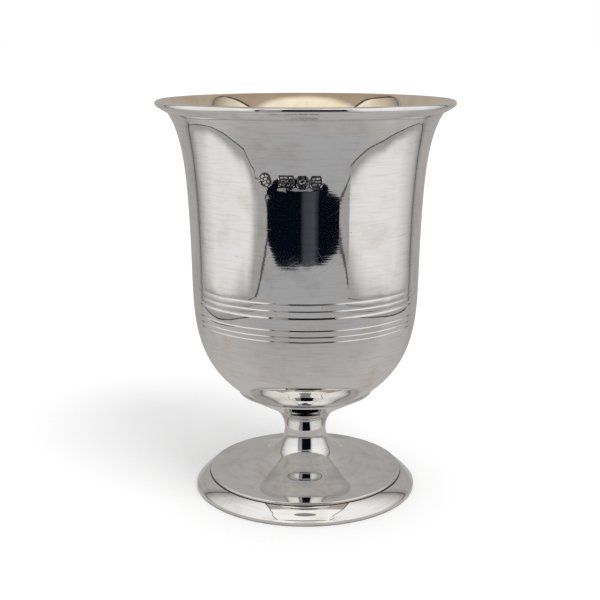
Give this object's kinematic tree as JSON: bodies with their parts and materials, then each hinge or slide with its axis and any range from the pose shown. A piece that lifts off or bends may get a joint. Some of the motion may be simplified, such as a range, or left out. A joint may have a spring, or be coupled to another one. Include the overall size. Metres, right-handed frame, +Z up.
{
  "type": "goblet",
  "caption": "Small silver wine goblet with a flared moulded lip, engraved thread lines, a gilt inside and a round stepped pedestal foot.",
  "frame": {"origin": "centre of the foot's underside, on the plane it stands on", "axes": "+Z up along the axis the cup is turned on; the front, where the stamped marks are in the visual model, faces -Y"},
  "size_m": [0.081, 0.081, 0.11],
  "materials": {
    "bowl": "polished silver, gilt inside",
    "foot": "polished silver"
  },
  "bodies": {
    "root": {"bowl": "bowl", "foot": "foot"}
  },
  "joints": []
}
